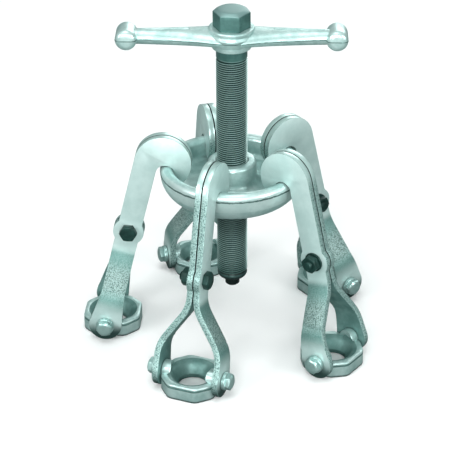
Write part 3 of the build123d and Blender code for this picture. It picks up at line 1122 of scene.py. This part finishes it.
# Painted shade on the lower part of the ear.
ear = band(tree, rise, FOLD_LOW - 0.016, -0.014)
face_with_shade = mix_colours(tree, sums(tree, "MULTIPLY", ear, 0.85), pitted_and_shaded, (0.07, 0.15, 0.135))
# Painted shade towards the bottom of the arm, next to the wheel.
low_shade = low_shade_mask(tree, place)
tree.links.new(mix_colours(tree, low_shade, face_with_shade, PAINTED_SHADE), shader.inputs["Base Color"])
tree.links.new(scaled(tree, bent, 0.40, 0.50), shader.inputs["Roughness"])
grain_height = sums(tree, "MULTIPLY", grain.outputs["Height"], scaled(tree, bent, 0.05, 1.0))
bump(tree, shader, grain_height, 0.00025, 0.7)
print("material", arm_face.name)

# %% [markdown]
# ### Plate edges
# Shears cut the first part of a plate cleanly and tear the rest, so the edges are speckled with
# small dark pits. The edges at the very top of the arm are smooth. The same speckle is used as on
# the bends, with other values.

# %% Plate edges
EDGE_SMOOTH_Z = 0.178
arm_edge, tree, shader, place = steel("arm_edge", 0.55)
torn = use(tree, speckle, place, Scale=950.0, Amount=0.53)
low_edge = band(tree, axis_value(tree, place, "Z"), EDGE_SMOOTH_Z, EDGE_SMOOTH_Z - 0.014)
tears = both(tree, torn.outputs["Mask"], low_edge)
sheared = mix_colours(tree, low_edge, (0.52, 0.70, 0.67), (0.38, 0.55, 0.525))
torn_colour = mix_colours(tree, tears, sheared, (0.05, 0.12, 0.108))
# Painted shade towards the bottom of the arm, next to the wheel.
low_shade = low_shade_mask(tree, place)
tree.links.new(mix_colours(tree, low_shade, torn_colour, PAINTED_SHADE), shader.inputs["Base Color"])
tree.links.new(scaled(tree, tears, 0.32, 0.6), shader.inputs["Roughness"])
bump(tree, shader, sums(tree, "MULTIPLY", torn.outputs["Height"], low_edge), 0.0004, 0.8)
print("material", arm_edge.name)

# %% [markdown]
# ### Plate arrises
# The narrow bevel between a face and an edge catches the light. It has a finish of its own, painted
# shade that is darker than the face and darkens further towards the hook.

# %% Plate arrises
arm_arris, tree, shader, place = steel("arm_arris", 0.5)
skin = use(tree, peel, place, Scale=500.0)
HOOK_LOW_Z, HOOK_HIGH_Z = 0.138, 0.158
# Painted shade: the arrises are darker than the faces, and darker still towards the hook.
hook_arris_shade = band(tree, axis_value(tree, place, "Z"), HOOK_LOW_Z, HOOK_HIGH_Z)
arris_shade = mix_colours(tree, skin.outputs["Mottle"], (0.20, 0.34, 0.32), (0.40, 0.56, 0.53))
tree.links.new(mix_colours(tree, hook_arris_shade, arris_shade, (0.11, 0.20, 0.185)), shader.inputs["Base Color"])
tree.links.new(scaled(tree, skin.outputs["Mottle"], 0.50, 0.38), shader.inputs["Roughness"])
bump(tree, shader, skin.outputs["Height"], 0.0001, 0.5)
print("material", arm_arris.name)

# %% [markdown]
# ### Plate insides
# The inner faces of the fork are painted a shaded dark grey. Above the fork the two plates lie close
# against each other, and what shows of the narrow gap is painted almost black as shade. The feet's
# seats and grooves and the foot screws' collars take this painted shade as well.

# %% Plate insides
painted_shade_steel, tree, shader, place = steel("painted_shade_steel", 0.45)
skin = use(tree, peel, place, Scale=300.0)
# Painted shade: the inner faces of the fork are painted dark grey.
inside_shade = mix_colours(tree, skin.outputs["Mottle"], (0.10, 0.21, 0.195), (0.20, 0.34, 0.32))
FORK_TOP_Z, CLOSED_Z = 0.078, 0.084
# Painted shade: what shows of the gap above the fork is painted almost black.
gap_shade = band(tree, axis_value(tree, place, "Z"), FORK_TOP_Z, CLOSED_Z)
tree.links.new(mix_colours(tree, gap_shade, inside_shade, (0.02, 0.04, 0.037)), shader.inputs["Base Color"])
tree.links.new(scaled(tree, skin.outputs["Mottle"], 0.50, 0.38), shader.inputs["Roughness"])
bump(tree, shader, skin.outputs["Height"], 0.00015, 0.6)
print("material", painted_shade_steel.name)

# %% [markdown]
# ### Blackened steel
# Bolts, washers, nuts and the tip are blackened and oiled. A low metallic value and a weak
# reflection keep them dark, where a plain dark metal would mirror the lights.

# %% Blackened steel
black, tree, shader, place = steel("blackened_steel", 0.3)
shader.inputs["Specular IOR Level"].default_value = 0.3
skin = use(tree, peel, place, Scale=700.0)
oxide = mix_colours(tree, skin.outputs["Mottle"], (0.006, 0.026, 0.022), (0.016, 0.054, 0.047))
# Painted shade: the tip is darker towards the bottom, next to the wheel.
TIP_LIT_Z, TIP_DARK_Z = 0.060, 0.051
near_wheel = band(tree, axis_value(tree, place, "Z"), TIP_LIT_Z, TIP_DARK_Z)
tree.links.new(mix_colours(tree, near_wheel, oxide, (0.006, 0.012, 0.011)), shader.inputs["Base Color"])
tree.links.new(scaled(tree, skin.outputs["Mottle"], 0.46, 0.34), shader.inputs["Roughness"])
bump(tree, shader, skin.outputs["Height"], 0.00006, 0.5)
print("material", black.name)

# %% [markdown]
# ### Screw steel
# Oil fills the roots of the thread, and use rubs the crests bright. The distance from the axis
# tells a crest from a root, so no pattern has to be wrapped round the ridges. A painted highlight
# makes the domed top of the hexagon bright, as light from above would. Painted shade darkens the
# screw just under the dish and towards its bottom, next to the wheel.

# %% Screw steel, worn bright on the thread's crests
HEX_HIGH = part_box("spindle")[1][2]
screw_steel, tree, shader, place = steel("screw_steel", 0.5)
skin = use(tree, peel, place, Scale=600.0)
oiled = mix_colours(tree, skin.outputs["Mottle"], (0.050, 0.130, 0.118), (0.085, 0.195, 0.180))
radius, height = from_axis(tree, place), axis_value(tree, place, "Z")
below_neck = band(tree, height, (NECK_LOW + 1) * MM, NECK_LOW * MM)
crest = both(tree, band(tree, radius, 0.01275, 0.0133), below_neck)
crest = both(tree, crest, band(tree, height, 0.054, 0.075))
root = both(tree, band(tree, radius, 0.0128, 0.0123), band(tree, radius, 0.0110, 0.0118))
dark_root = mix_colours(tree, root, oiled, (0.010, 0.026, 0.023))
# Painted highlight on the domed top of the hexagon.
dome = band(tree, height, HEX_HIGH - 0.0034, HEX_HIGH - 0.0022)
screw_wear_and_painted_light = mix_colours(tree, crest, dark_root, (0.36, 0.52, 0.49))
screw_wear_and_painted_light = mix_colours(tree, dome, screw_wear_and_painted_light, (0.19, 0.31, 0.30))
# Painted shade just under the dish and towards the bottom, next to the wheel.
shaded_end = both(tree, band(tree, height, 0.128, 0.122), band(tree, height, 0.085, 0.115))
near_wheel = band(tree, height, 0.062, 0.052)
lower_screw = mix_colours(tree, sums(tree, "MULTIPLY", shaded_end, 0.6), screw_wear_and_painted_light, (0.012, 0.028, 0.026))
screw_wear_and_painted_light = mix_colours(tree, near_wheel, lower_screw, (0.008, 0.018, 0.017))
tree.links.new(screw_wear_and_painted_light, shader.inputs["Base Color"])
tree.links.new(scaled(tree, crest, 0.44, 0.34), shader.inputs["Roughness"])
bump(tree, shader, skin.outputs["Height"], 0.00006, 0.5)
print("material", screw_steel.name)

# %% [markdown]
# ### Bright turned steel
# The screws of the feet are turned from bar and plated, so theirs is the smoothest finish, with
# only a very fine bump.

# %% Bright turned steel
bright, tree, shader, place = steel("bright_steel", 0.75)
skin = use(tree, peel, place, Scale=600.0)
turned_zinc = mix_colours(tree, skin.outputs["Mottle"], (0.30, 0.46, 0.44), (0.48, 0.65, 0.63))
tree.links.new(turned_zinc, shader.inputs["Base Color"])
tree.links.new(scaled(tree, skin.outputs["Mottle"], 0.38, 0.28), shader.inputs["Roughness"])
bump(tree, shader, skin.outputs["Height"], 0.00005, 0.5)
print("material", bright.name)

# %% [markdown]
# ## Everything in its place
# Each piece takes its material, replaces its plain solid, and rides on the body that the solid belongs
# to.

# %% Materials and bodies
finishes = {"zinc_forging": forging, "blackened_steel": black, "bright_steel": bright}
own_finish = {"hub_plate": dish_steel, "spindle": screw_steel}
for piece, node, body, slot in pieces:
    if not piece.data.materials:
        piece.data.materials.append(own_finish.get(node) or finishes[slot])
    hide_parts(node)
    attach(piece, body)
for node, solid in frame["nodes"].items():
    solid.data.materials.clear()
    solid.data.materials.append(forging)
print("triangles", sum(len(face.vertices) - 2 for piece, *rest in pieces for face in piece.data.polygons))

# %% [markdown]
# ## Floor and light
# A plain pale floor fills the view. Metal mirrors what stands round it, and a white floor would light
# every underside and wash the shape out. The floor is therefore pale where the camera sees it and dark
# where it only throws light back. The broad light in front does most of the work. Softer ones stand at
# both sides, above and behind, so that every face has something to mirror.

# %% Floor
clear_selection()
bpy.ops.mesh.primitive_plane_add(size=12, location=(0, 0, -0.0001))
floor = bpy.context.object
floor.name = "floor"
paint = bpy.data.materials.new("floor_paint")
paint.use_nodes = True
nodes, links = paint.node_tree.nodes, paint.node_tree.links
nodes.remove(nodes["Principled BSDF"])
seen, bounced = nodes.new("ShaderNodeBsdfDiffuse"), nodes.new("ShaderNodeBsdfDiffuse")
seen.inputs["Color"].default_value = (0.98, 0.955, 0.96, 1)
bounced.inputs["Color"].default_value = (0.18, 0.21, 0.205, 1)
chooser = nodes.new("ShaderNodeMixShader")
links.new(nodes.new("ShaderNodeLightPath").outputs["Is Camera Ray"], chooser.inputs[0])
links.new(bounced.outputs[0], chooser.inputs[1])
links.new(seen.outputs[0], chooser.inputs[2])
links.new(chooser.outputs[0], nodes["Material Output"].inputs["Surface"])
floor.data.materials.append(paint)


# %% Lights
MIDDLE = Vector((0, 0, 0.13))


def softbox(name, spot, size, power):
    """A square area light that faces the middle of the puller."""
    bpy.ops.object.light_add(type="AREA", location=spot)
    lamp = bpy.context.object
    lamp.name = name
    lamp.data.size = size
    lamp.data.energy = power
    lamp.data.color = (0.965, 1.0, 0.995)
    aim = MIDDLE - Vector(spot)
    lamp.rotation_euler = aim.to_track_quat("-Z", "Y").to_euler()
    return lamp


softbox("top", (-0.2, -0.3, 2.0), 1.2, 12)
softbox("key", (-1.7, -1.3, 1.0), 0.9, 20)
softbox("front", (-0.1, -2.3, 0.7), 1.1, 40)
softbox("right", (1.9, -1.5, 0.9), 0.9, 24)
softbox("back", (0.6, 1.9, 0.9), 1.2, 13)
world = bpy.data.worlds.new("studio")
bpy.context.scene.world = world
world.use_nodes = True
nodes, links = world.node_tree.nodes, world.node_tree.links
sky_place = nodes.new("ShaderNodeTexCoord")
sky_split = nodes.new("ShaderNodeSeparateXYZ")
links.new(sky_place.outputs["Generated"], sky_split.inputs[0])
sky_ramp = nodes.new("ShaderNodeMapRange")
for label, value in (("From Min", -0.1), ("From Max", 0.9), ("To Min", 0.20), ("To Max", 0.60)):
    sky_ramp.inputs[label].default_value = value
links.new(sky_split.outputs["Z"], sky_ramp.inputs["Value"])
links.new(sky_ramp.outputs["Result"], nodes["Background"].inputs["Strength"])
nodes["Background"].inputs["Color"].default_value = (0.90, 1.0, 0.985, 1)
bpy.context.scene.view_settings.view_transform = "Standard"
